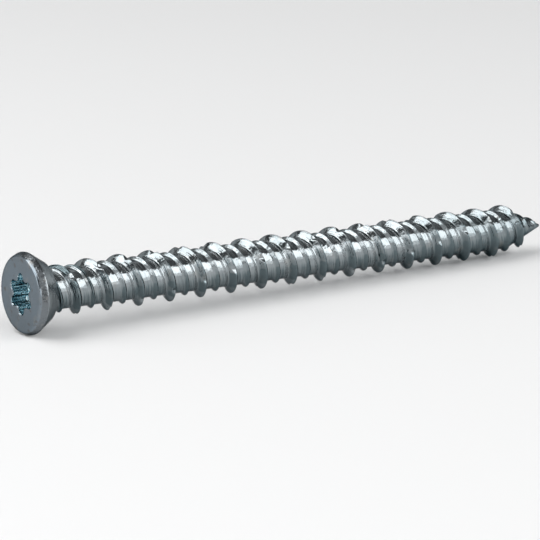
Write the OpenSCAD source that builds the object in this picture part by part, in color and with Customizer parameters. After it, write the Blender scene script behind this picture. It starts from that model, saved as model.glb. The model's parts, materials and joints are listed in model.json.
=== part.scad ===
// Concrete screw with a countersunk six-lobe head and a high-low thread over its whole length.
// The screw is one cold-formed, thread-rolled piece of steel. It lies on the floor as it comes to
// rest: on the rim of its head and on the last full crest of its high thread.
// Lengths are in millimetres, angles in degrees. X runs from head to point, Z is up.

/* [Head] */
// Length of the screw from the face of the head to the point
screw_length = 88; // [60:1:105]
// Diameter of the head where its two cones would meet in a sharp rim
head_d = 11.38; // [10.8:0.02:13]
// Diameter of the flat face out to its edge, before that is rounded
face_d = 10.5; // [9:0.1:10.6]
// Depth of the rim below the face
rim_depth = 1.04; // [0.7:0.02:1.3]
// Diameter at the small end of the countersunk seat
collar_d = 8.52; // [8.2:0.02:9]
// Depth of the small end of the seat below the face
seat_depth = 3.28; // [3:0.02:3.8]
// Height of the head's underside, from the small end of the seat to the neck
underside_h = 0.72; // [0.6:0.02:1.5]
// Radius on the edge of the face
face_round = 0.3; // [0.1:0.05:0.4]
// Radius on the rim
rim_round = 0.35; // [0.1:0.05:0.6]

/* [Recess] */
// Diameter across the tips of the six lobes
lobe_d = 5.6; // [5:0.1:6]
// Diameter across the webs between the lobes
web_d = 3.95; // [3.6:0.05:4.2]
// Radius at the tip of a lobe
lobe_round = 0.45; // [0.35:0.05:0.5]
// Depth of the straight walls of the recess
recess_depth = 2.5; // [1.5:0.1:2.6]
// Depth of the cone below the straight walls
recess_cone = 0.6; // [0.3:0.1:0.7]
// Thickness of steel between the bottom of the recess and the start of the threaded shank
recess_floor = 0.25; // [0.1:0.05:0.3]
// Turn of the recess about the screw
recess_turn = -4.5; // [-30:0.5:30]

/* [Thread] */
// Diameter over the high thread
high_d = 7.5; // [7:0.1:8]
// Diameter over the low thread
low_d = 6.3; // [6:0.1:6.8]
// Diameter of the core between the threads
core_d = 5.4; // [5:0.1:5.8]
// Distance that each thread advances in one turn
lead = 5.04; // [4.5:0.02:6]
// Width of the high thread's flat crest
high_crest = 0.25; // [0.1:0.05:0.4]
// Width of one flank of the high thread
high_flank = 0.6; // [0.4:0.05:0.7]
// Width of the low thread at its base
low_base = 1.1; // [0.8:0.05:1.3]
// Distance from the face to the first crest of the high thread, on the side that faces the floor
first_crest = 3.3; // [2.5:0.05:4]
// Depth of the cutting notches in the high thread's crest
notch_depth = 0.45; // [0:0.05:0.6]

/* [Point] */
// Length of the conical point
point_length = 6.7; // [5:0.1:9]
// Distance from the point at which the high thread begins to fade
high_fade = 3.4; // [3:0.1:4.5]
// Distance from the point at which the high thread is gone
high_end = 1.4; // [1:0.1:2]
// Distance from the point at which the low thread begins to fade
low_fade = 3.8; // [3.5:0.1:4.5]
// Distance from the point at which the low thread is gone
low_end = 2.6; // [2:0.1:3]

/* [Hidden] */

// Steps of the thread's surface in one turn, and steps from one cutting notch to the next
turn_steps = 44;
notch_steps = 14;
// Steps in a rounded corner of the head, and in one arc of the recess
corner_steps = 5;
lobe_steps = 6;

face_r = face_d / 2;
rim_r = head_d / 2;
collar_r = collar_d / 2;
core_r = core_d / 2;
high_h = (high_d - core_d) / 2;
low_h = (low_d - core_d) / 2;

// The shank starts inside the head, below the recess, and ends in a small ring just before the point
shank_from = recess_depth + recess_cone + recess_floor;
shank_to = screw_length - point_length / 13;
// The head's underside runs on into the core and ends there
neck_depth = seat_depth + underside_h;
neck_r = 0.85 * core_r;

// Corners of half the head's section as [radius, depth], with the radius of each rounding
head_corners = [[0, 0], [face_r, 0], [rim_r, rim_depth], [collar_r, seat_depth], [neck_r, neck_depth],
    [0, neck_depth]];
head_rounds = [0, face_round, rim_round, 0, 0, 0];

function unit(v) = v / norm(v);
// Half of the angle between the two edges that meet at corner b
function half_angle(a, b, c) = acos(unit(a - b) * unit(c - b)) / 2;
// Centre of the arc of radius r that touches both edges at corner b
function arc_centre(a, b, c, r) = b + unit(unit(a - b) + unit(c - b)) * r / sin(half_angle(a, b, c));
// Angle of the line from p to q
function bearing(p, q) = atan2(q[1] - p[1], q[0] - p[0]);
// Points of that arc, from the first edge to the second
function arc_points(a, b, c, r) =
    let (o = arc_centre(a, b, c, r),
         foot_length = r / tan(half_angle(a, b, c)),
         from = bearing(o, b + unit(a - b) * foot_length),
         sweep = (bearing(o, b + unit(c - b) * foot_length) - from + 540) % 360 - 180)
    [for (s = [0 : corner_steps]) o + r * [cos(from + sweep * s / corner_steps),
                                           sin(from + sweep * s / corner_steps)]];
// The head's section with its corners rounded
function head_section() = [for (n = [0 : len(head_corners) - 1])
    let (b = head_corners[n], r = head_rounds[n])
    each (r == 0 ? [b] : arc_points(head_corners[n - 1], b, head_corners[n + 1], r))];

// Centres of the arcs on the edge of the face and on the rim
face_arc = arc_centre(head_corners[0], head_corners[1], head_corners[2], face_round);
rim_arc = arc_centre(head_corners[1], head_corners[2], head_corners[3], rim_round);

// The six-lobe outline: a convex arc at each lobe's tip runs smoothly into a hollow arc at each web
lobe_centre = lobe_d / 2 - lobe_round;
web_r = web_d / 2;
web_round = (lobe_round ^ 2 - web_r ^ 2 - lobe_centre ^ 2 + 2 * web_r * lobe_centre * cos(30))
    / (2 * (web_r - lobe_centre * cos(30) - lobe_round));
web_centre = (web_r + web_round) * [cos(30), sin(30)];
meet = bearing([lobe_centre, 0], web_centre);
function turned(p, angle) = [p[0] * cos(angle) - p[1] * sin(angle), p[0] * sin(angle) + p[1] * cos(angle)];
function lobe_arc() = [for (s = [0 : lobe_steps]) let (w = meet * (2 * s / lobe_steps - 1))
    [lobe_centre + lobe_round * cos(w), lobe_round * sin(w)]];
function web_arc() = [for (s = [1 : lobe_steps - 1]) let (w = 180 + meet + (60 - 2 * meet) * s / lobe_steps)
    web_centre + web_round * [cos(w), sin(w)]];
function recess_outline() =
    [for (n = [0 : 5]) each [for (p = concat(lobe_arc(), web_arc())) turned(p, 60 * n)]];

// Section of the two threads over one lead: places along the screw, from the middle of the high crest,
// then the share of the high thread's and of the low thread's height at each place
crest_half = high_crest / 2;
section_z = [-crest_half - high_flank, -crest_half, crest_half, crest_half + high_flank,
    (lead - low_base) / 2, lead / 2, (lead + low_base) / 2];
section_high = [0, 1, 1, 0, 0, 0, 0];
section_low = [0, 0, 0, 0, 0, 1, 0];
section_count = len(section_z);

// Rows of the surface: each turn of the thread has one row for each place in its section
turn_from = floor((shank_from - first_crest) / lead) - 2;
turn_to = ceil((shank_to - first_crest) / lead) + 1;
row_count = (turn_to - turn_from + 1) * section_count;

function row_turn(row) = turn_from + floor(row / section_count);
// Place of a row along the screw, in a column of the surface
function row_z(column, row) =
    first_crest + lead * (row_turn(row) + column / turn_steps) + section_z[row % section_count];
// First and last row of a column: the ends of the column are cut square at both ends of the shank
first_rows = [for (c = [0 : turn_steps - 1])
    len([for (r = [0 : row_count - 1]) if (row_z(c, r) <= shank_from) r]) - 1];
last_rows = [for (c = [0 : turn_steps - 1])
    len([for (r = [0 : row_count - 1]) if (row_z(c, r) < shank_to) r])];
// Number of the first point in each column
column_from = [for (c = 0, n = 0; c < turn_steps; n = n + last_rows[c] - first_rows[c] + 1, c = c + 1) n];
shank_points = column_from[turn_steps - 1] + last_rows[turn_steps - 1] - first_rows[turn_steps - 1] + 1;

// Radius of the core, which tapers at the point
function core_at(z) = min(core_r, core_r * (screw_length - z) / point_length);
// Share of a thread's height that is left near the point
function fade(z, begin, end) = min(1, max(0, (screw_length - z - end) / (begin - end)));
// Depth of a cutting notch, which lies in the crest of the high thread once in every few steps
function notch_at(column, row) =
    (row_turn(row) * turn_steps + column) % notch_steps == 0 ? notch_depth : 0;
function surface_radius(column, row, z) = core_at(z)
    + section_high[row % section_count] * (high_h - notch_at(column, row)) * fade(z, high_fade, high_end)
    + section_low[row % section_count] * low_h * fade(z, low_fade, low_end);
// Rows cut off by an end of the shank lie on the core
function surface_point(column, row) =
    let (z = row_z(column, row),
         inside = z > shank_from && z < shank_to,
         at = min(shank_to, max(shank_from, z)),
         r = inside ? surface_radius(column, row, z) : core_at(at),
         angle = 360 * column / turn_steps)
    [r * cos(angle), r * sin(angle), at];

// Number of a point. A column past the last one is the first column, one turn of rows further on
function point_number(column, row) =
    column == turn_steps ? point_number(0, row + section_count)
    : column_from[column] + min(last_rows[column], max(first_rows[column], row)) - first_rows[column];
function is_face(f) = f[0] != f[1] && f[1] != f[2] && f[2] != f[0];

// Place where the high thread rests on the floor, and the lean of the screw that brings it there
rest_turn = floor((screw_length - point_length - first_crest) / lead);
rest_z = first_crest + rest_turn * lead;
rim_to_rest = [rest_z - rim_arc[1], rim_arc[0] - high_d / 2];
lean = atan2(rim_to_rest[1], rim_to_rest[0]) + asin(rim_round / norm(rim_to_rest));
// Height of the middle of the face, and the middle of the screw's length over the floor
face_height = rest_z * sin(lean) + high_d / 2 * cos(lean);
x_low = face_arc[1] * cos(lean) - face_arc[0] * sin(lean) - face_round;
x_middle = (x_low + screw_length * cos(lean)) / 2;

// Core, both threads and the point as one closed surface
module threaded_shank() {
    points = [
        for (c = [0 : turn_steps - 1], r = [first_rows[c] : last_rows[c]]) surface_point(c, r),
        [0, 0, shank_from],
        [0, 0, screw_length]
    ];
    sides = [for (c = [0 : turn_steps - 1], r = [-section_count : row_count - 1])
        let (a = point_number(c, r),
             b = point_number(c + 1, r),
             d = point_number(c, r + 1),
             e = point_number(c + 1, r + 1))
        each [[a, d, e], [a, e, b]]];
    ends = [for (c = [0 : turn_steps - 1]) each [
        [point_number(c, -section_count), point_number(c + 1, -2 * section_count), shank_points],
        [point_number(c + 1, row_count), point_number(c, row_count), shank_points + 1]]];
    polyhedron(points, [for (f = concat(sides, ends)) if (is_face(f)) f]);
}

// Six-lobe recess with a conical bottom
module recess() {
    translate([0, 0, -recess_depth]) linear_extrude(2 * recess_depth) polygon(recess_outline());
    translate([0, 0, recess_depth]) cylinder(h = recess_cone, r1 = web_r, r2 = web_r / 6, $fn = 48);
}

module countersunk_head() {
    difference() {
        rotate_extrude($fn = 96) polygon(head_section());
        rotate([0, 0, recess_turn]) recess();
    }
}

// The whole screw, lying on the floor with the middle of its length over the origin
module screw() {
    color("#a9b1b6")
    translate([-x_middle, 0, face_height])
    rotate([0, 90 + lean, 0])
    union() {
        countersunk_head();
        threaded_shank();
    }
}

screw();
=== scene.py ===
# %% [markdown]
# # A zinc-plated concrete screw
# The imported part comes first, because everything that follows is placed by it. The screw could be dressed
# by giving the part's own mesh a material, but that mesh has flat facets, which a bright metal shows up.
# So the lesson works out the screw's skin again as a fine surface of the same form, and paints that.

# %% Load the part
import json
import math

import bpy
import numpy as np
from mathutils import Matrix, Vector


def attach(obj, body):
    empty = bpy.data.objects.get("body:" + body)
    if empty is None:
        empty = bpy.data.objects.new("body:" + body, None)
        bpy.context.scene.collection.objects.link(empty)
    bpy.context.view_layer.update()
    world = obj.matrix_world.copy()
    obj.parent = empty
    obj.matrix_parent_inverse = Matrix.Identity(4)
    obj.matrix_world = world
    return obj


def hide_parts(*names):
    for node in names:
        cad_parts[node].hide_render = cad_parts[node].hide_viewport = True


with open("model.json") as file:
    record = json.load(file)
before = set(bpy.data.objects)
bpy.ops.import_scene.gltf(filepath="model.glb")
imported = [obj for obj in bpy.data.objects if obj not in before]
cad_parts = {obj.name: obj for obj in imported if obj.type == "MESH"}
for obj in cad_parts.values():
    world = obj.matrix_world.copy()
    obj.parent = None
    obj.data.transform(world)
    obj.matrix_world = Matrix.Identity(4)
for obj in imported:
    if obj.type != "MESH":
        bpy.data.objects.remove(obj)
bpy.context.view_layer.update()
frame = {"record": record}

# %% [markdown]
# ## The screw's own frame
# A lying screw leans a little: its wide head lifts one end. It is easier to shape a screw along its own
# axis and to lean it at the end. The part's record says where the recess is and which way it faces, and
# that gives the axis, so nothing is measured by eye. Shapes below are in millimetres: `along` is the
# distance from the face of the head, and turn 0 is the side that faces the floor.

# %% Axis of the screw
MM = 0.001
mounts = {m["name"]: m for m in frame["record"]["mounts"]}
face_centre = np.array(mounts["drive_recess"]["pos_m"])
axis = -np.array(mounts["drive_recess"]["axis"])
side = np.array([0.0, 1.0, 0.0])
floorward = -np.cross(axis, side)


def place(radius, turn, along):
    """Point in metres: along the axis, then out by the radius times the cosine and sine of the turn."""
    across = radius * np.cos(2 * np.pi * turn)
    beside = radius * np.sin(2 * np.pi * turn)
    steps = across[..., None] * floorward + beside[..., None] * side + along[..., None] * axis
    return face_centre + MM * steps


print("the axis slopes down by", round(math.degrees(math.asin(-axis[2])), 2), "degrees")

# %% [markdown]
# ## The section of the two threads
# The screw has two threads on one core: a high one that cuts into the wall of the hole, and a low one
# half a lead further on that guides it. Each is a ridge with straight flanks and a narrow crest, and the
# low one leans: its flank towards the point is the steeper. A ridge could be drawn with a list of points,
# but its corners would then need many. Here it is a sum of four ramps, and each ramp is a soft one, so
# that every corner comes out rounded by the same formula.

# %% Ridges
LEAD = 5.04
HIGH_D, LOW_D, CORE_D = 7.5, 6.3, 5.4
# A ridge has the width of its crest, then of its flank towards the head and of the one towards the point.
HIGH_CREST, HIGH_FLANKS = 0.14, (0.62, 0.62)
LOW_CREST, LOW_FLANKS = 0.08, (0.48, 0.22)
CORNER = 0.035

CORE_R = CORE_D / 2
HIGH_H = (HIGH_D - CORE_D) / 2
LOW_H = (LOW_D - CORE_D) / 2


def soft_ramp(x):
    """0 below zero and x above it, with the corner rounded: corner * log(1 + exp(x / corner))."""
    return CORNER * np.logaddexp(0, x / CORNER)


def ridge(x, crest, flanks):
    """Height from 0 to 1 of a ridge at distance x from its middle: up one flank, level, down the other."""
    edge, (head_flank, point_flank) = crest / 2, flanks
    up = soft_ramp(x + edge + head_flank) - soft_ramp(x + edge)
    down = soft_ramp(x - edge) - soft_ramp(x - edge - point_flank)
    return up / head_flank - down / point_flank


print("high thread", round(HIGH_H, 2), "mm, low thread", round(LOW_H, 2), "mm above the core")

# %% [markdown]
# ## Start, notches and run-out
# The high thread starts gently: for its first part under the head it is lower and broader. At the other
# end both threads fade out on the cone of the point. Small notches cross the crest of the high thread at
# a steady step, which helps it to cut. A notch could be cut with a boolean, but as a limit on the height
# of the ridge it stays part of the same formula.

# %% Start, notches and run-out
LENGTH = 88.0
FIRST_CREST = 3.3
# The high thread has this share of its height up to the first of these turns, and all from the second.
START_SHARE, START_TURNS = 0.7, (0.45, 0.75)
# A thread fades from the first of these distances to the point down to the second.
HIGH_FADE, LOW_FADE = (3.4, 0.3), (3.8, 2.6)
# The step from notch to notch and the place of the first one are in turns of the thread.
NOTCH_EVERY, NOTCH_FROM = 114.5 / 360, 1.7 / 360
NOTCH_WIDTH, NOTCH_DEPTH = 1.6, 0.5


def thread_place(turn, along):
    """Nearest high crest: the turns of thread before it, and the distance along the screw from it."""
    turns = (along - FIRST_CREST) / LEAD - turn
    crest = np.round(turns)
    return crest + turn, (turns - crest) * LEAD


def started(thread_turns):
    """Share of its full height and steepness that the high thread has: low, then a straight rise."""
    begin, full = START_TURNS
    return START_SHARE + (1 - START_SHARE) * np.clip((thread_turns - begin) / (full - begin), 0, 1)


def faded(left, fade):
    """1 well away from the point, 0 close to it, straight in between: left is the distance to the point."""
    begin, end = fade
    return np.clip((left - end) / (begin - end), 0, 1)


def notch(thread_turns):
    """Depth of a cutting notch, a V that comes back at a steady step along the thread."""
    step = (thread_turns - NOTCH_FROM) / NOTCH_EVERY
    off = np.abs(step - np.round(step)) * NOTCH_EVERY * np.pi * HIGH_D
    return NOTCH_DEPTH * np.clip(1 - off / (NOTCH_WIDTH / 2), 0, 1)


print("notches on the high thread: about", round((LENGTH - FIRST_CREST) / LEAD / NOTCH_EVERY))

# %% [markdown]
# ## The whole shank as one radius
# The radius of the shank is a function of two numbers: how far along the screw, and how far round it. The
# core tapers to the point and ends in a small blunt tip, and the higher of the two ridges stands on it. A
# rolled crest is never quite even, so its height wanders by a few hundredths of a millimetre. One formula
# for all of this leaves no seams between core, threads and point.

# %% Radius of the shank
POINT_LENGTH, TIP_R = 6.7, 0.16
WOBBLE, WOBBLE_RATES = 0.04, (17.3, 6.1)


def core_radius(along):
    """Radius of the core: even along the shank, then a cone down to the blunt tip."""
    return CORE_R - soft_ramp((CORE_R - TIP_R) * (1 - (LENGTH - along) / POINT_LENGTH))


def shank_radius(turn, along):
    """Radius of the core plus the higher of the two ridges, with notches taken off the high one."""
    thread_turns, x = thread_place(turn, along)
    left = LENGTH - along
    quick, slow = (rate * thread_turns for rate in WOBBLE_RATES)
    wobble = WOBBLE * np.sin(quick) * np.sin(slow + 1)
    start = started(thread_turns)
    high = (HIGH_H - WOBBLE + wobble) * ridge(x * start, HIGH_CREST, HIGH_FLANKS)
    high = np.minimum(high, HIGH_H - notch(thread_turns)) * faded(left, HIGH_FADE) * start
    from_low = x - np.where(x > 0, LEAD / 2, -LEAD / 2)
    low = LOW_H * ridge(from_low, LOW_CREST, LOW_FLANKS) * faded(left, LOW_FADE)
    return core_radius(along) + np.maximum(high, low)


one_lead = shank_radius(0.0, LENGTH / 2 + LEAD * np.linspace(0, 1, 100))
print("radius in mid-length:", round(one_lead.min(), 2), "to", round(one_lead.max(), 2), "mm")

# %% [markdown]
# ## A grid that follows the thread
# A plain grid of rings would cross the threads at a slant and need very many points to draw a clean
# crest. This grid is sheared, so that its rows run along the thread: going once round the screw leads from
# a row to the same row one lead further on. Rows stand close on the ridges and far apart on the core. Both
# ends are cut square, by moving the rows that would stick out to the end.

# %% Rows over one lead
# Rows stand at these distances on both sides of a crest, and in the middle of each strip of core.
HIGH_ROWS = np.array([0.05, 0.11, 0.17, 0.24, 0.34, 0.46, 0.58, 0.68, 0.76, 0.85, 0.95])
LOW_ROWS = np.array([0.04, 0.09, 0.15, 0.23, 0.32, 0.41, 0.5, 0.58, 0.67, 0.8])
CORE_ROW = 1.33

section = np.concatenate([
    -HIGH_ROWS[::-1],
    HIGH_ROWS,
    [CORE_ROW],
    LEAD / 2 - LOW_ROWS[::-1],
    LEAD / 2 + LOW_ROWS,
    [LEAD - CORE_ROW],
])
print("rows over one lead:", len(section))

# %% Helical grid
COLUMNS, SPARE_LAPS = 120, 2
NECK, TIP_GAP = 4.0, 0.1

shank_end = LENGTH - TIP_GAP
turn = np.arange(COLUMNS) / COLUMNS
lap_from = math.floor((NECK - FIRST_CREST) / LEAD) - SPARE_LAPS
lap_to = math.ceil((shank_end - FIRST_CREST) / LEAD) + SPARE_LAPS
laps = np.arange(lap_from, lap_to)
along = FIRST_CREST + LEAD * (laps[None, :, None] + turn[:, None, None]) + section
along = along.reshape(COLUMNS, -1)
rows = along.shape[1]
first = (along <= NECK).sum(1) - 1
last = (along < shank_end).sum(1)
kept = (np.arange(rows) >= first[:, None]) & (np.arange(rows) <= last[:, None])
along = np.clip(along, NECK, shank_end)
radius = shank_radius(turn[:, None], along)
shank_points = place(radius, np.broadcast_to(turn[:, None], along.shape), along)[kept]
print("shank:", len(shank_points), "points in", COLUMNS, "columns")

# %% [markdown]
# ## The six-lobe recess
# The bit that drives the screw has six round lobes with hollow webs between them, and the recess is its
# print. The outline could be put together from circles. Written as a distance from the axis at each turn
# it is one formula, and the rings of the head can follow it.

# %% Recess outline
LOBES, LOBE_D, WEB_D, LOBE_ROUND = 6, 5.6, 3.95, 0.68

half_pitch = math.pi / LOBES
cos_half, sin_half = math.cos(half_pitch), math.sin(half_pitch)
lobe_centre = LOBE_D / 2 - LOBE_ROUND
web_r = WEB_D / 2
web_round = LOBE_ROUND**2 - web_r**2 - lobe_centre**2 + 2 * web_r * lobe_centre * cos_half
web_round /= 2 * (web_r - lobe_centre * cos_half - LOBE_ROUND)
web_centre = web_r + web_round


def lobed_radius(turn):
    """Distance to the outline: to the round tip of a lobe near its middle, else to the hollow web.

    Each is the distance at which a ray from the axis meets a circle: c * cos(w) plus or minus the root of
    r * r - (c * sin(w))**2, for a circle of radius r whose centre lies at distance c and angle w.
    """
    w = np.abs((turn * LOBES + 0.5) % 1 - 0.5) * 2 * half_pitch
    tip = lobe_centre * np.cos(w) + np.sqrt(np.maximum(LOBE_ROUND**2 - (lobe_centre * np.sin(w)) ** 2, 0))
    v = half_pitch - w
    web = web_centre * np.cos(v) - np.sqrt(np.maximum(web_round**2 - (web_centre * np.sin(v)) ** 2, 0))
    meet = math.atan2(web_centre * sin_half, web_centre * cos_half - lobe_centre)
    change = math.atan2(LOBE_ROUND * math.sin(meet), lobe_centre + LOBE_ROUND * math.cos(meet))
    return np.where(w < change, tip, web)


print("recess: webs rounded by", round(web_round, 2), "mm between lobes rounded by", LOBE_ROUND, "mm")

# %% [markdown]
# ## The profile of the head
# The head is pressed in a die: a flat face, a band that widens to the rim, a long cone that seats in the
# countersink, and a steep underside. No edge of pressed steel is sharp, and an edge only catches the light
# when it has some width. A Bevel modifier could round the edges, but arcs in the profile put each radius
# where it is wanted.

# %% Rounded profile
FACE_START_R, FACE_R, RIM_R, COLLAR_R = 3.5, 5.25, 5.69, 4.26
RIM_DEPTH, SEAT_DEPTH = 1.04, 3.28
NECK_SHARE = 0.85
# The edge of the face, the rim and the collar are rounded by these radii.
HEAD_ROUNDS = (0.5, 0.35, 0.12)

neck_r = NECK_SHARE * CORE_R


def rounded(corners, rounds, steps=6):
    """Outline with corners rounded: each arc touches both edges, at r / tan(half the angle)."""
    points = []
    for before, corner, after, r in zip(corners[:-2], corners[1:-1], corners[2:], rounds):
        a = (before - corner) / np.linalg.norm(before - corner)
        b = (after - corner) / np.linalg.norm(after - corner)
        half = math.acos(np.dot(a, b)) / 2
        centre = corner + (a + b) / np.linalg.norm(a + b) * r / math.sin(half)
        ends = corner + np.array([a, b]) * r / math.tan(half) - centre
        share = np.linspace(0, 1, steps + 1)[:, None]
        arc = ends[0] * (1 - share) + ends[1] * share
        points.append(centre + r * arc / np.linalg.norm(arc, axis=1, keepdims=True))
    return np.concatenate(points)


head_corners = [[FACE_START_R, 0], [FACE_R, 0], [RIM_R, RIM_DEPTH], [COLLAR_R, SEAT_DEPTH], [neck_r, NECK]]
profile = rounded(np.array(head_corners), HEAD_ROUNDS)
print("profile of the head:", len(profile), "points, widest radius", round(profile[:, 0].max(), 3), "mm")

# %% [markdown]
# ## Rings of the head
# Recess, face and skirt become rings round the axis, from the bottom of the recess outwards. The rings of
# the recess follow the lobes, and those of the face change little by little from the lobes to a circle.
# Cutting the recess out of a solid head would leave long thin faces there. Under the head the rings take
# in the start of the thread, wherever it stands out further than the cone.

# %% Rings of the recess
RECESS_DEPTH, RECESS_CONE, RECESS_TURN = 2.5, 0.6, -4.5 / 360
MOUTH_ROUND = 0.2
FLOOR_SHARES = np.array([0.12, 0.4, 0.7, 0.9, 1.0])
WALL_STEPS, MOUTH_STEPS = 8, 5

lobes = lobed_radius(turn - RECESS_TURN)
floor_r = FLOOR_SHARES[:, None] * lobes
floor_z = RECESS_DEPTH + RECESS_CONE * np.clip(1 - floor_r / web_r, 0, 1)
wall_z = np.linspace(RECESS_DEPTH, MOUTH_ROUND, WALL_STEPS + 1)[1:, None] + 0 * lobes
wall_r = lobes + 0 * wall_z
mouth = np.linspace(0, np.pi / 2, MOUTH_STEPS + 1)[1:, None]
mouth_r = lobes + MOUTH_ROUND * (1 - np.cos(mouth))
mouth_z = MOUTH_ROUND * (1 - np.sin(mouth)) + 0 * lobes
recess_rings = len(floor_r) + len(wall_r) + len(mouth_r) // 2 - 1
print("recess:", round(2 * lobes.min(), 2), "to", round(2 * lobes.max(), 2), "mm across")

# %% Rings of the face and the skirt
FACE_STEPS, UNDER_STEPS = 8, 11

face_share = np.linspace(0, 1, FACE_STEPS + 1)[1:-1, None]
face_r = (lobes + MOUTH_ROUND) * (1 - face_share) + profile[0, 0] * face_share
face_z = 0 * face_r
skirt_r = profile[:, :1] + 0 * lobes
skirt_z = profile[:, 1:] + 0 * lobes
skirt_end_r, skirt_end_z = profile[-1]
under_z = np.linspace(skirt_end_z, NECK, UNDER_STEPS + 1)[1:-1, None] + 0 * lobes
under_share = (under_z - skirt_end_z) / (NECK - skirt_end_z)
under_r = skirt_end_r * (1 - under_share) + neck_r * under_share
under_r = np.maximum(under_r, shank_radius(turn[None, :], under_z))

ring_r = np.concatenate([floor_r, wall_r, mouth_r, face_r, skirt_r, under_r])
ring_z = np.concatenate([floor_z, wall_z, mouth_z, face_z, skirt_z, under_z])
rings_to_skirt = len(floor_r) + len(wall_r) + len(mouth_r) + len(face_r)
seat_ring = rings_to_skirt - 1 + (profile[:, 1] < RIM_DEPTH).sum()
head_points = place(ring_r, np.broadcast_to(turn, ring_r.shape), ring_z).reshape(-1, 3)
print("head:", len(ring_r), "rings,", recess_rings, "of them in the recess")

# %% [markdown]
# ## One closed skin
# Head and shank join into one surface, since the real screw is one piece of steel. The rings are
# numbered ring by ring, the shank column by column, and two poles close the bottom of the recess and the
# point. Where rows were moved to an end of the shank, corners of a face fall together. Such faces lose a
# corner or vanish, so faces are made as triangles and those with two equal corners are left out.

# %% Numbers of the points
columns = np.arange(COLUMNS)
next_column = (columns + 1) % COLUMNS
pole_low, ring_start = 0, 1
shank_start = ring_start + len(head_points)
pole_high = shank_start + len(shank_points)
column_start = np.concatenate([[0], np.cumsum(last - first + 1)[:-1]])


def number(column, row):
    """Number of a point of the shank. Past the last column comes the first one, one lead further on."""
    over = column == COLUMNS
    column = np.where(over, 0, column)
    row = np.where(over, row + len(section), row)
    return shank_start + column_start[column] + np.clip(row, first[column], last[column]) - first[column]


points = np.concatenate([
    place(np.zeros(1), np.zeros(1), np.array([RECESS_DEPTH + RECESS_CONE])),
    head_points,
    shank_points,
    place(np.zeros(1), np.zeros(1), np.array([LENGTH])),
])
print("skin:", len(points), "points")

# %% Faces
def strips(a, b, c, d):
    """Two triangles for each four-sided cell with corners a, b on one row and d, c on the next."""
    return np.stack([np.stack([a, b, c], -1), np.stack([a, c, d], -1)], -2).reshape(-1, 3)


ring_count = len(ring_r)
ring_a = ring_start + np.arange(ring_count - 1)[:, None] * COLUMNS + columns
ring_b = ring_start + np.arange(ring_count - 1)[:, None] * COLUMNS + next_column
ring_faces = strips(ring_a, ring_b, ring_b + COLUMNS, ring_a + COLUMNS)
neck_ring = ring_start + (ring_count - 1) * COLUMNS
neck_faces = strips(
    neck_ring + columns,
    neck_ring + next_column,
    number(next_column, 0 * columns),
    number(columns, 0 * columns),
)
cell_column, cell_row = np.meshgrid(columns, np.arange(-len(section), rows), indexing="ij")
shank_faces = strips(
    number(cell_column, cell_row),
    number(cell_column + 1, cell_row),
    number(cell_column + 1, cell_row + 1),
    number(cell_column, cell_row + 1),
)
low_fan = np.stack([0 * columns + pole_low, ring_start + next_column, ring_start + columns], -1)
tip_ring = number(columns, 0 * columns + rows)
tip_next = number(next_column, 0 * columns + rows)
high_fan = np.stack([tip_ring, tip_next, 0 * columns + pole_high], -1)
faces = np.concatenate([low_fan, ring_faces, neck_faces, shank_faces, high_fan])
print("faces before the flat ones go:", len(faces))

# %% Whole faces and their finish
recess_end = len(low_fan) + 2 * COLUMNS * recess_rings
face_end = len(low_fan) + 2 * COLUMNS * seat_ring
seat_end = len(low_fan) + len(ring_faces) + len(neck_faces)
finish_of_face = np.searchsorted([recess_end, face_end, seat_end], np.arange(len(faces)), side="right")

corners = np.sort(faces, 1)
whole = (corners[:, 0] != corners[:, 1]) & (corners[:, 1] != corners[:, 2])
faces, finish_of_face = faces[whole], finish_of_face[whole]
p, q, s = points[faces].transpose(1, 0, 2)
volume = np.einsum("ij,ij->i", p, np.cross(q, s)).sum() / 6
if volume < 0:
    faces = faces[:, ::-1]
print("skin:", len(faces), "triangles around", round(abs(volume) / MM**3), "cubic mm")

# %% [markdown]
# ## Measures that the finish will need
# The plating looks different on a flank, on a crest and along the drawn lines of the thread, and painted
# shade makes the lower side darker. Only the shape knows where those are, so they go into the mesh as named
# values at each point: how far it is raised on a thread, whether it is on a high crest, how many
# millimetres it lies below the axis, how far along and across the thread it lies, and whether it is on the
# band of the head. A freshly cut notch counts as not raised, because it stays bright. Masks painted by hand
# would not follow the shape.

# %% Measures
# A crest is the top of the high thread, from the first of these shares of its height to the second.
CREST_FROM, CREST_TO = 0.8, 0.95
# A notch counts as freshly cut where it has this share of its depth.
CUT_SHARE = 0.5
# The band of the head begins this far behind the face.
BAND_FROM = 0.2

lap = np.broadcast_to(np.repeat(laps, len(section)), (COLUMNS, rows)) + turn[:, None]
thread_along = (lap * np.pi * CORE_D)[kept]
thread_across = np.broadcast_to(np.tile(section, len(laps)), (COLUMNS, rows))[kept]
thread_turns, from_crest = thread_place(turn[:, None], along)
in_notch = np.clip(notch(thread_turns) / (CUT_SHARE * NOTCH_DEPTH), 0, 1)
freshly_cut = np.where(np.abs(from_crest) < LEAD / 4, in_notch, 0)
height = radius - core_radius(along)
raised = (np.clip(height / LOW_H, 0, 1) * (1 - freshly_cut))[kept]
crest = np.clip((height / HIGH_H - CREST_FROM) / (CREST_TO - CREST_FROM), 0, 1)[kept]
below = (radius * np.cos(2 * np.pi * turn[:, None]))[kept]
on_band = (ring_r > FACE_R) & (ring_z > BAND_FROM) & (ring_z < RIM_DEPTH)
band = on_band.astype(float).ravel()
print("points fully raised:", int((raised == 1).sum()), "and on a high crest:", int((crest == 1).sum()))

# %% [markdown]
# ## The mesh
# The arrays go into the mesh whole, with foreach_set, which is far quicker than adding faces one by one.
# Each triangle gets the number of its finish, and smooth shading hides the facets. The piece rides on the
# screw's body and stands for the part's own mesh.

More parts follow.
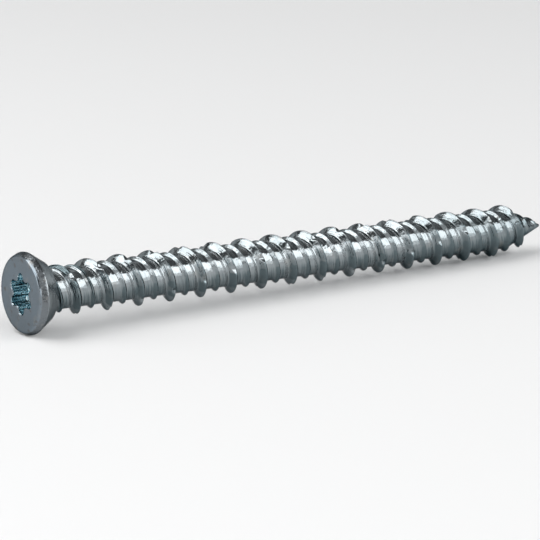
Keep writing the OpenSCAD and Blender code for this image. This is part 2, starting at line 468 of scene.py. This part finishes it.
# %% Mesh
def per_point(shank_values=0.0, head_values=0.0):
    """Values for every point of the skin: the given ones on the shank and the head, 0 at the poles."""
    values = np.zeros(len(points), np.float32)
    values[ring_start:shank_start] = head_values
    values[shank_start:pole_high] = shank_values
    return values


mesh = bpy.data.meshes.new("concrete_screw")
mesh.vertices.add(len(points))
mesh.vertices.foreach_set("co", points.astype(np.float32).ravel())
mesh.loops.add(3 * len(faces))
mesh.loops.foreach_set("vertex_index", faces.astype(np.int32).ravel())
mesh.polygons.add(len(faces))
mesh.polygons.foreach_set("loop_start", np.arange(0, 3 * len(faces), 3, dtype=np.int32))
mesh.polygons.foreach_set("material_index", finish_of_face.astype(np.int32))
mesh.polygons.foreach_set("use_smooth", np.ones(len(faces), dtype=bool))
measures = {
    "raised": per_point(raised),
    "crest": per_point(crest),
    "below": per_point(below),
    "thread_along": per_point(thread_along),
    "thread_across": per_point(thread_across),
    "band": per_point(head_values=band),
}
for name, values in measures.items():
    mesh.attributes.new(name, "FLOAT", "POINT").data.foreach_set("value", values)
mesh.update(calc_edges=True)
mesh.validate()

screw = bpy.data.objects.new("concrete_screw", mesh)
bpy.context.collection.objects.link(screw)
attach(screw, "root")
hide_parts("screw")
print("mesh:", len(mesh.polygons), "faces with the measures", ", ".join(measures))

# %% [markdown]
# ## Helpers for nodes
# A finish in Blender is a network of nodes. It can be drawn by hand in the shader editor, but in code it
# can be read from top to bottom and made again. The same few steps come back all the time: make a node,
# set its values, link it. Each helper does one of them and hands on the socket that comes out.

# %% Node helpers
def add(tree, kind, values=None, **settings):
    """A node of that kind: settings are its own properties, values its unlinked inputs by name."""
    node = tree.nodes.new("ShaderNode" + kind)
    for label, value in settings.items():
        setattr(node, label, value)
    for label, value in (values or {}).items():
        node.inputs[label].default_value = value
    return node


def object_place(tree):
    """Place on the object in metres, which stays with the screw when it moves."""
    return add(tree, "TexCoord").outputs["Object"]


def measure(tree, name):
    """One of the mesh's named values."""
    return add(tree, "Attribute", attribute_name=name).outputs["Fac"]


def noise(tree, where, values):
    """Noise texture, from 0 to 1, read at the given place."""
    node = add(tree, "TexNoise", values)
    tree.links.new(where, node.inputs["Vector"])
    return node.outputs["Fac"]


def spread(tree, value, low, high, to_low=0.0, to_high=1.0):
    """Map Range node: low..high of the value becomes to_low..to_high, held at both ends."""
    node = add(tree, "MapRange", {"From Min": low, "From Max": high, "To Min": to_low, "To Max": to_high})
    tree.links.new(value, node.inputs["Value"])
    return node.outputs["Result"]


def math_of(tree, operation, a, b, **settings):
    """Math node that joins two values by an operation such as ADD or MAXIMUM."""
    node = add(tree, "Math", operation=operation, **settings)
    tree.links.new(a, node.inputs[0])
    tree.links.new(b, node.inputs[1])
    return node.outputs["Value"]


def times(tree, a, b):
    """Product of two values."""
    return math_of(tree, "MULTIPLY", a, b)


def mix_colour(tree, factor, a, b):
    """Colour between a and b, by the factor: each of the three is a socket to link or a plain value."""
    node = add(tree, "Mix", data_type="RGBA")
    for label, value in (("Factor", factor), ("A", a), ("B", b)):
        socket = [i for i in node.inputs if i.name == label and i.enabled][0]
        if isinstance(value, bpy.types.NodeSocket):
            tree.links.new(value, socket)
        else:
            socket.default_value = value
    return [o for o in node.outputs if o.enabled][0]


print("helpers for nodes:", [f.__name__ for f in (add, noise, spread, math_of, times, mix_colour)])

# %% Group helpers
SOCKET_KINDS = {1: "Float", 3: "Vector", 4: "Color"}


def new_group(name, inputs, outputs):
    """A shader node group: inputs are name: default of 1, 3 or 4 numbers, outputs are name: kind."""
    group = bpy.data.node_groups.new(name, "ShaderNodeTree")
    for label, value in inputs.items():
        kind = SOCKET_KINDS[np.size(value)]
        socket = group.interface.new_socket(label, in_out="INPUT", socket_type="NodeSocket" + kind)
        socket.default_value = value
    for label, kind in outputs.items():
        group.interface.new_socket(label, in_out="OUTPUT", socket_type="NodeSocket" + kind)
    return group, group.nodes.new("NodeGroupInput").outputs, group.nodes.new("NodeGroupOutput").inputs


def put_group(tree, group, values):
    """A node that places a group in a material's tree, with its own values."""
    node = tree.nodes.new("ShaderNodeGroup")
    node.node_tree = group
    for label, value in values.items():
        node.inputs[label].default_value = value
    return node


print("a group's sockets can be:", ", ".join(SOCKET_KINDS.values()))

# %% [markdown]
# ## Passivate tint
# After plating, a thin clear film is grown on the zinc to keep it bright. It is thin enough to tint the
# metal: mostly grey, blue-green where it is thicker, here and there a breath of straw. The same tint is on
# every surface, so it is one node group, and each finish places it with its own strength. The film that a
# finish adds through Extra is in part painted shade: by height on the thread, on its first lap and on the
# band of the head.

# %% Tint group
FILM_CLOUDS, STRAW_CLOUDS = (0.42, 0.68), (0.6, 0.8)
STRAW, MOST_STRAW = (0.36, 0.33, 0.29, 1), 0.35


def passivate_tint():
    """Colour of the plated metal: two clouds of noise mix in the blue-green film and a trace of straw."""
    group, given, made = new_group(
        "passivate_tint",
        {"Metal": (0.45, 0.47, 0.49, 1), "Film": (0.2, 0.36, 0.4, 1), "Amount": 0.5, "Extra": 0.0},
        {"Color": "Color"},
    )
    where = object_place(group)
    clouds = noise(group, where, {"Scale": 420.0, "Detail": 3.0, "Roughness": 0.55})
    share = times(group, spread(group, clouds, *FILM_CLOUDS), given["Amount"])
    total = math_of(group, "ADD", share, given["Extra"], use_clamp=True)
    blue = mix_colour(group, total, given["Metal"], given["Film"])
    straw = noise(group, where, {"Scale": 700.0, "Detail": 2.0})
    straw_share = spread(group, straw, *STRAW_CLOUDS, 0.0, MOST_STRAW)
    group.links.new(mix_colour(group, straw_share, blue, STRAW), made["Color"])
    return group


tint_group = passivate_tint()
print(tint_group.name, "has", len(tint_group.nodes), "nodes")

# %% [markdown]
# ## Grain of the plating
# Zinc settles in fine crystals, so a plated surface is never a clean mirror: it is a little rougher in
# some patches than in others, and its grain is higher there. A single roughness would look like plastic
# film. The group puts out both the roughness and the grain's height, so that they go together.

# %% Grain group
PATCHES, PATCH_RISE = (0.35, 0.7), (0.3, 1.7)


def plating_grain():
    """Roughness that wanders between two values, and the grain, which is higher where it is rougher."""
    group, given, made = new_group(
        "plating_grain",
        {"Scale": 3000.0, "Smooth": 0.12, "Rough": 0.3},
        {"Roughness": "Float", "Height": "Float"},
    )
    where = object_place(group)
    grain = noise(group, where, {"Detail": 1.0, "Roughness": 0.5})
    group.links.new(given["Scale"], grain.node.inputs["Scale"])
    patches = noise(group, where, {"Scale": 600.0, "Detail": 3.0})
    roughness = spread(group, patches, *PATCHES)
    group.links.new(given["Smooth"], roughness.node.inputs["To Min"])
    group.links.new(given["Rough"], roughness.node.inputs["To Max"])
    group.links.new(roughness, made["Roughness"])
    rise = spread(group, patches, *PATCHES, *PATCH_RISE)
    group.links.new(times(group, grain, rise), made["Height"])
    return group


grain_group = plating_grain()
print(grain_group.name, "has", len(grain_group.nodes), "nodes")

# %% [markdown]
# ## Streaks
# Dies and punches draw fine lines in the metal that slides along them. A wave texture would give lines at
# an even step, but real ones have no rhythm. Noise that is stretched far more one way than the other has
# none either. The thread and the recess both have streaks, each in its own direction.

# %% Streak group
def drawn_streaks():
    """Noise drawn out into streaks: the place is first scaled by a different factor along each axis."""
    group, given, made = new_group(
        "drawn_streaks",
        {"Place": (0.0, 0.0, 0.0), "Stretch": (1.0, 1.0, 1.0), "Detail": 3.0},
        {"Height": "Float"},
    )
    stretched = add(group, "VectorMath", operation="MULTIPLY")
    group.links.new(given["Place"], stretched.inputs[0])
    group.links.new(given["Stretch"], stretched.inputs[1])
    height = noise(group, stretched.outputs["Vector"], {"Scale": 1.0})
    group.links.new(given["Detail"], height.node.inputs["Detail"])
    group.links.new(height, made["Height"])
    return group


streak_group = drawn_streaks()
print("node groups:", [g.name for g in bpy.data.node_groups])

# %% [markdown]
# ## Four finishes of one plating
# The same zinc looks different on each part of the screw, as the tool below it left the steel. One material
# with masks could hold all four finishes, but four short ones are easier to read. They begin alike: a metal
# with the tint and the grain wired in. At a grazing angle the film keeps the metal from turning into a
# white mirror, and that is what the edge tint is for.

# %% Finish helpers
EDGE_TINT = (0.26, 0.27, 0.28, 1)


def start_finish(name, tint_values, grain_values, bump_strength, bump_depth):
    """Metal with the tint, the grain and the grain's bump wired in: returns material, tint, grain, bump."""
    material = bpy.data.materials.new(name)
    material.use_nodes = True
    tree = material.node_tree
    shader = tree.nodes["Principled BSDF"]
    shader.inputs["Metallic"].default_value = 1.0
    shader.inputs["Specular Tint"].default_value = EDGE_TINT
    tint = put_group(tree, tint_group, tint_values)
    grain = put_group(tree, grain_group, grain_values)
    bump = add(tree, "Bump", {"Strength": bump_strength, "Distance": bump_depth * MM})
    tree.links.new(grain.outputs["Height"], bump.inputs["Height"])
    tree.links.new(tint.outputs["Color"], shader.inputs["Base Color"])
    tree.links.new(grain.outputs["Roughness"], shader.inputs["Roughness"])
    tree.links.new(bump.outputs["Normal"], shader.inputs["Normal"])
    return material, tint, grain, bump


def under_bump(tree, bump, height, depth):
    """A second bump of that depth in mm, worked in before the given one."""
    first_bump = add(tree, "Bump", {"Strength": 1.0, "Distance": depth * MM})
    tree.links.new(height, first_bump.inputs["Height"])
    tree.links.new(first_bump.outputs["Normal"], bump.inputs["Normal"])
    return first_bump


print("edge tint of every finish:", EDGE_TINT[:3])

# %% [markdown]
# ## Punched recess
# A punch drives the recess into the head and is drawn out again, which leaves glossy walls with streaks
# along the axis. The plating bath hardly moves in there, so the film is at its thickest and bluest, and it
# gathers between the streaks. The streaks are bump and not shape, because they are finer than the grid. The
# metal in there is painted lighter than elsewhere, as painted light for the light the walls miss.

# %% Punched recess
PUNCH_STRETCH, PUNCH_DEPTH = (160.0, 2600.0, 2600.0), 0.45
PUNCH_LEVELS = (0.35, 0.6)


def punched_zinc():
    """Recess: streaks along the screw, deep enough to break up the light, with film where they are low."""
    material, tint, _, bump = start_finish(
        "punched_zinc",
        # Painted light: the recess's metal is much lighter than the rest, to make up for the light its
        # walls miss.
        {"Metal": (0.8, 0.92, 0.95, 1), "Film": (0.2, 0.36, 0.42, 1), "Amount": 0.3},
        {"Scale": 1500.0, "Smooth": 0.06, "Rough": 0.18},
        bump_strength=0.6,
        bump_depth=0.06,
    )
    tree = material.node_tree
    streaks = put_group(tree, streak_group, {"Stretch": PUNCH_STRETCH, "Detail": 1.0})
    tree.links.new(object_place(tree), streaks.inputs["Place"])
    under_bump(tree, bump, streaks.outputs["Height"], PUNCH_DEPTH)
    film = spread(tree, streaks.outputs["Height"], *PUNCH_LEVELS, 1.0, 0.0)
    tree.links.new(film, tint.inputs["Extra"])
    return material


punched = punched_zinc()
print(punched.name, "has", len(punched.node_tree.nodes), "nodes")

# %% [markdown]
# ## Pressed face
# The face of the head was pressed flat and is satin, with a few dark specks. The band between face and rim
# is mottled: its grain is deeper and it is rougher, and more film makes it darker, partly as painted shade.
# A finish of its own would show a hard line at the edge, so the band is a mask in the finish of the face.

# %% Pressed face
BAND_BUMP, BAND_ROUGHER, BAND_FILM_AND_SHADE = 0.06, 0.12, 0.6
SPECKS = (0.66, 0.72)


def pressed_zinc():
    """Satin face with specks of film, and a band whose mask adds bump, roughness, and film that is partly
    painted shade.
    """
    material, tint, grain, bump = start_finish(
        "pressed_zinc",
        {"Metal": (0.198, 0.233, 0.262, 1), "Film": (0.165, 0.172, 0.176, 1), "Amount": 0.25},
        {"Scale": 2200.0, "Smooth": 0.1, "Rough": 0.2},
        bump_strength=0.4,
        bump_depth=0.03,
    )
    tree = material.node_tree
    on_band = measure(tree, "band")
    under_bump(tree, bump, times(tree, grain.outputs["Height"], on_band), BAND_BUMP)
    rougher = spread(tree, on_band, 0.0, 1.0, 0.0, BAND_ROUGHER)
    roughness = math_of(tree, "ADD", grain.outputs["Roughness"], rougher)
    tree.links.new(roughness, tree.nodes["Principled BSDF"].inputs["Roughness"])
    specks = noise(tree, object_place(tree), {"Scale": 1100.0, "Detail": 1.0})
    # Painted shade in part: more film darkens the band.
    band_film_and_shade = spread(tree, on_band, 0.0, 1.0, 0.0, BAND_FILM_AND_SHADE)
    film = math_of(tree, "MAXIMUM", band_film_and_shade, spread(tree, specks, *SPECKS))
    tree.links.new(film, tint.inputs["Extra"])
    return material


pressed = pressed_zinc()
print(pressed.name, "has", len(pressed.node_tree.nodes), "nodes")

# %% [markdown]
# ## Cone under the head
# The cone that seats in the countersink came out of the die with a plain skin. It could share the finish of
# the face, but it is lighter and a little rougher. It needs nothing but the tint and the grain.

# %% Cone under the head
def seat_zinc():
    """Plain plating: the tint and the grain alone."""
    return start_finish(
        "seat_zinc",
        {"Metal": (0.312, 0.343, 0.358, 1), "Film": (0.2, 0.22, 0.225, 1), "Amount": 0.4},
        {"Scale": 2200.0, "Smooth": 0.14, "Rough": 0.26},
        bump_strength=0.5,
        bump_depth=0.05,
    )[0]


seat = seat_zinc()
print(seat.name, "has", len(seat.node_tree.nodes), "nodes")

# %% [markdown]
# ## Lines and dents on the thread
# The thread was rolled between hard dies, which left it bright, with fine lines that run along it. They are
# deepest on the first lap by the head. Loose screws knock against each other, so small dents are scattered
# over the thread, more of them towards the point. Lines on straight coordinates would cut across the
# thread, so they are drawn on the measures along and across it.

# %% Lines and dents on the thread
LINE_STRETCH = (0.2, 4.0, 1.0)
DENT_EDGES, SCUFFED_AREAS = (0.15, 0.45), (0.45, 0.6)


def thread_lines(tree, at):
    """Height of the drawn lines: streaks on a flat map of the thread, along it and across it."""
    flat_place = add(tree, "CombineXYZ")
    tree.links.new(at["thread_along"], flat_place.inputs["X"])
    tree.links.new(at["thread_across"], flat_place.inputs["Y"])
    lines = put_group(tree, streak_group, {"Stretch": LINE_STRETCH})
    tree.links.new(flat_place.outputs["Vector"], lines.inputs["Place"])
    return lines.outputs["Height"]


def dents(tree, share):
    """Height of small dents: round hollows scattered by a Voronoi texture, kept only in scuffed areas."""
    where = object_place(tree)
    cells = add(tree, "TexVoronoi", {"Scale": 1400.0})
    tree.links.new(where, cells.inputs["Vector"])
    areas = noise(tree, where, {"Scale": 170.0, "Detail": 2.0})
    hollows = spread(tree, cells.outputs["Distance"], *DENT_EDGES)
    return times(tree, times(tree, hollows, spread(tree, areas, *SCUFFED_AREAS)), share)


print("lines are stretched", round(LINE_STRETCH[1] / LINE_STRETCH[0]), "times along the thread")

# %% [markdown]
# ## Film and painted shade on the thread
# The film is uneven, and its share is set by the height on the screw as painted shade: the upper side is
# nearly bare metal, most film is a little below the middle, and the lowest part has less again. It clings
# to the flanks, the drawn lines and the crests, and there is more of it towards the point. One painted mask
# could hold all of this. Here each is a ramp over one of the measures, and ramps are easy to tune one at a
# time.

# %% Film and painted shade on the thread
# How far a point is raised, and how high a line is.
FLANK, FLANK_FILM = (0.1, 0.7), (0.25, 1.5)
LINE_LEVELS, LINE_FILM = (0.42, 0.65), 0.6
# The ramps over the height paint shade: little film on top, the most a little below the middle.
# Millimetres below the axis, so that the upper side is below zero.
SHOULDER, SHOULDER_SHADE = (-1.8, 0.0), (0.1, 0.4)
MIDDLE = (0.0, 0.9)
UNDERSIDE, UNDERSIDE_SHADE = (1.5, 2.6), 0.15
CREST_SIDE = (-2.7, -2.2)
LOWER, LOWER_GAIN = (1.4, 3.0), 2.4
# Millimetres along the thread.
NEAR_POINT, NEAR_POINT_FILM = (175.0, 260.0), 0.38


def thread_film_and_shade(tree, at, lines):
    """Film on flanks and lines, times painted shade by height, or the film on the crest if that is more."""
    on_flank = spread(tree, at["raised"], *FLANK, *FLANK_FILM)
    film = math_of(tree, "ADD", on_flank, spread(tree, lines, *LINE_LEVELS, 0.0, LINE_FILM))
    # Painted shade by height: the film rises from the top to a little below the middle and falls off at the
    # bottom.
    shoulder = spread(tree, at["below"], *SHOULDER, *SHOULDER_SHADE)
    lower_side_shade = math_of(tree, "ADD", shoulder, spread(tree, at["below"], *MIDDLE))
    shade_by_height = times(tree, lower_side_shade, spread(tree, at["below"], *UNDERSIDE, 1.0, UNDERSIDE_SHADE))
    # The film on the crest is painted shade too, left off the very top.
    on_crest = times(tree, at["crest"], spread(tree, at["below"], *CREST_SIDE))
    return math_of(tree, "MAXIMUM", times(tree, film, shade_by_height), on_crest)


def point_film_and_shade(tree, at, off_top):
    """Film that grows along the thread towards the point, with painted shade: none on top and the most on
    the lower side.
    """
    # Painted shade: near the point the lower side gets more of the film and the top none.
    lower = times(tree, off_top, spread(tree, at["below"], *LOWER, 1.0, LOWER_GAIN))
    return times(tree, spread(tree, at["thread_along"], *NEAR_POINT, 0.0, NEAR_POINT_FILM), lower)


print("film near the point starts", round(NEAR_POINT[0] / (np.pi * CORE_D), 1), "laps from the head")

# %% [markdown]
# ## Rolled thread
# The finish of the thread puts lines, dents and film together. The first lap has deep lines and is full of
# film, which paints shade on it beside the head. The dents leave out the very top of the thread, which is
# bright and smooth on the real screw. Both are bumps under the grain, so that the grain still lies over
# them.

# %% Rolled thread
FIRST_LAP, ON_THREAD = (11.0, 17.0), (0.3, 0.8)
LINE_DEPTH, DEEPER, DEEP_LINES = 0.06, (0.5, 1.0), 5.0
TOP = (-3.1, -2.6)
WORN, LEAST_WORN, DENT_DEPTH = (90.0, 230.0), 0.25, 0.05
THREAD_MEASURES = ("thread_along", "thread_across", "raised", "crest", "below")


def rolled_zinc():
    """Bright thread: bumps for lines and dents under the grain, and extra film by the measures, much of it
    painted shade.
    """
    material, tint, _, bump = start_finish(
        "rolled_zinc",
        {"Metal": (0.36, 0.39, 0.404, 1), "Film": (0.145, 0.185, 0.198, 1), "Amount": 0.3},
        {"Scale": 2600.0, "Smooth": 0.09, "Rough": 0.19},
        bump_strength=0.6,
        bump_depth=0.05,
    )
    tree = material.node_tree
    at = {name: measure(tree, name) for name in THREAD_MEASURES}
    lines = thread_lines(tree, at)
    start = spread(tree, at["thread_along"], *FIRST_LAP, 1.0, 0.0)
    first_lap_lines_and_shade = times(tree, start, spread(tree, at["raised"], *ON_THREAD))
    depth = times(tree, lines, spread(tree, first_lap_lines_and_shade, *DEEPER, 1.0, DEEP_LINES))
    drawn = under_bump(tree, bump, depth, LINE_DEPTH)
    off_top = spread(tree, at["below"], *TOP)
    worn = spread(tree, at["thread_along"], *WORN, LEAST_WORN, 1.0)
    under_bump(tree, drawn, dents(tree, times(tree, worn, off_top)), DENT_DEPTH)
    # On the first lap beside the head the film is full, as painted shade.
    most = math_of(tree, "MAXIMUM", thread_film_and_shade(tree, at, lines), first_lap_lines_and_shade)
    film = math_of(tree, "ADD", most, point_film_and_shade(tree, at, off_top))
    tree.links.new(film, tint.inputs["Extra"])
    return material


rolled = rolled_zinc()
print(rolled.name, "has", len(rolled.node_tree.nodes), "nodes")

# %% [markdown]
# ## Finishes on the mesh
# The faces were numbered from the recess to the shank, and the finishes go into the mesh in that order.

# %% Finishes on the mesh
for finish in (punched, pressed, seat, rolled):
    mesh.materials.append(finish)
faces_of_finish = np.bincount(finish_of_face)
print("finishes:", {m.name: int(n) for m, n in zip(mesh.materials, faces_of_finish)}, "faces")

# %% [markdown]
# ## Floor
# The screw lies on a plain pale floor that keeps its soft shadow. The camera looks down on it, so a flat
# square fills the whole picture, and no curved backdrop is needed.

# %% Floor
FLOOR_HALF = 3.0
FLOOR_COLOUR = (0.79, 0.79, 0.79, 1)

floor_mesh = bpy.data.meshes.new("floor")
floor_corners = FLOOR_HALF * np.array([[-1, -1, 0], [1, -1, 0], [1, 1, 0], [-1, 1, 0]])
floor_mesh.from_pydata(floor_corners.tolist(), [], [(0, 1, 2, 3)])
floor = bpy.data.objects.new("floor", floor_mesh)
bpy.context.collection.objects.link(floor)
floor_paint = bpy.data.materials.new("pale_floor")
floor_paint.use_nodes = True
floor_shader = floor_paint.node_tree.nodes["Principled BSDF"]
floor_shader.inputs["Base Color"].default_value = FLOOR_COLOUR
floor_shader.inputs["Roughness"].default_value = 0.9
floor_shader.inputs["Specular IOR Level"].default_value = 0.1
floor_mesh.materials.append(floor_paint)
print("floor:", 2 * FLOOR_HALF, "m square")

# %% [markdown]
# ## Soft light
# Bright metal shows its surroundings more than itself, so the studio is part of its look. A large key panel
# lights the screw from the right of the camera. Smaller bright panels on the left and at the back are what
# the white patches on the core and the upper flanks mirror, and dim ones all round give the greys between
# them. Each stands where one kind of facet mirrors it towards the camera. A picture of a studio could be
# wrapped round the scene instead, but panels can be moved and dimmed one by one.

# %% Lamps
# Each panel has its compass, its height, its width and height as seen, all in degrees, and its radiance.
PANELS = {
    "key": (145, 30, (76, 34), 2.8),
    "front_panel": (-135, 15, (26, 20), 2.5),
    "left_panel": (-113, 14, (18, 18), 0.7),
    "left_strip": (-104, 4.5, (30, 9), 1.9),
    "left_high": (-146, 44, (60, 36), 0.5),
    "left_upper": (-103, 46, (24, 20), 1.4),
    "edge_panel": (-60, 13, (28, 26), 2.8),
    "back_panel": (-68.5, 35, (41, 22), 3.0),
    "top_panel": (-62, 63, (56, 22), 3.0),
    "back_wall": (-2, 14, (84, 28), 0.6),
    "back_high": (5, 52, (50, 36), 0.42),
    "right_back": (62, 40, (44, 24), 0.32),
    "right_strip": (49, 9, (70, 14), 0.85),
    "front_fill": (146, 6, (70, 12), 1.4),
}
PANEL_DISTANCE = 0.6


def softbox(name, compass, height, size, radiance):
    """Area lamp that faces the origin, placed by compass (0 behind, 90 right) and height angle in degrees.

    Its size is given as the width and height in degrees at which the screw sees it, and its power is the
    radiance times pi times the area, so that the lamp looks as bright as the radiance says.
    """
    turned, lifted = math.radians(compass), math.radians(height)
    flat = math.cos(lifted)
    direction = Vector((math.sin(turned) * flat, math.cos(turned) * flat, math.sin(lifted)))
    lamp = bpy.data.lights.new(name, "AREA")
    lamp.shape = "RECTANGLE"
    lamp.size, lamp.size_y = (2 * PANEL_DISTANCE * math.tan(math.radians(angle / 2)) for angle in size)
    lamp.energy = radiance * math.pi * lamp.size * lamp.size_y
    holder = bpy.data.objects.new(name, lamp)
    bpy.context.collection.objects.link(holder)
    holder.location = direction * PANEL_DISTANCE
    holder.rotation_euler = direction.to_track_quat("Z", "Y").to_euler()
    holder.visible_camera = False
    return lamp


power = sum(softbox(name, *panel).energy for name, panel in PANELS.items())
print(len(PANELS), "panels,", round(power, 2), "watts in all")

# %% Room light
ROOM_COLOUR, ROOM_STRENGTH = (0.95, 0.98, 1.0, 1), 0.11

world = bpy.data.worlds.new("studio")
bpy.context.scene.world = world
world.use_nodes = True
room = world.node_tree.nodes["Background"]
room.inputs["Color"].default_value = ROOM_COLOUR
room.inputs["Strength"].default_value = ROOM_STRENGTH
bpy.context.scene.view_settings.view_transform = "Standard"
print("room light:", ROOM_STRENGTH)

# %% [markdown]
# ## Camera
# The picture was taken with a long lens from a little above, past the head. The camera could be moved by
# eye until the outlines agree. Here its place follows from the pixel at which the middle of the head's
# face lies and from how many pixels a millimetre takes there.

# %% Camera
IMAGE_SIDE = 540
FOCAL_PIXELS = 3832.3
FACE_PIXEL = (20.35, 294.31)
PIXELS_PER_MM = 7.482
CAMERA_AZIMUTH, CAMERA_ELEVATION = -34.28, 13.89

azimuth, elevation = math.radians(CAMERA_AZIMUTH), math.radians(CAMERA_ELEVATION)
back = np.array([
    math.sin(azimuth) * math.cos(elevation),
    -math.cos(azimuth) * math.cos(elevation),
    math.sin(elevation),
])
right = np.array([math.cos(azimuth), math.sin(azimuth), 0])
upward = np.cross(back, right)
depth = FOCAL_PIXELS / PIXELS_PER_MM * MM
offset = (np.array(FACE_PIXEL) - IMAGE_SIDE / 2) / FOCAL_PIXELS * depth
location = face_centre - offset[0] * right + offset[1] * upward + depth * back

lens = bpy.data.cameras.new("camera")
lens.sensor_width = 36.0
lens.lens = FOCAL_PIXELS / IMAGE_SIDE * lens.sensor_width
lens.clip_start, lens.clip_end = 0.01, 20.0
camera = bpy.data.objects.new("camera", lens)
bpy.context.collection.objects.link(camera)
turned = Matrix(np.array([right, upward, back]).T.tolist()).to_4x4()
camera.matrix_world = Matrix.Translation(location.tolist()) @ turned
bpy.context.scene.camera = camera
print("camera", [round(float(v), 4) for v in location], "lens", round(lens.lens, 1), "mm")
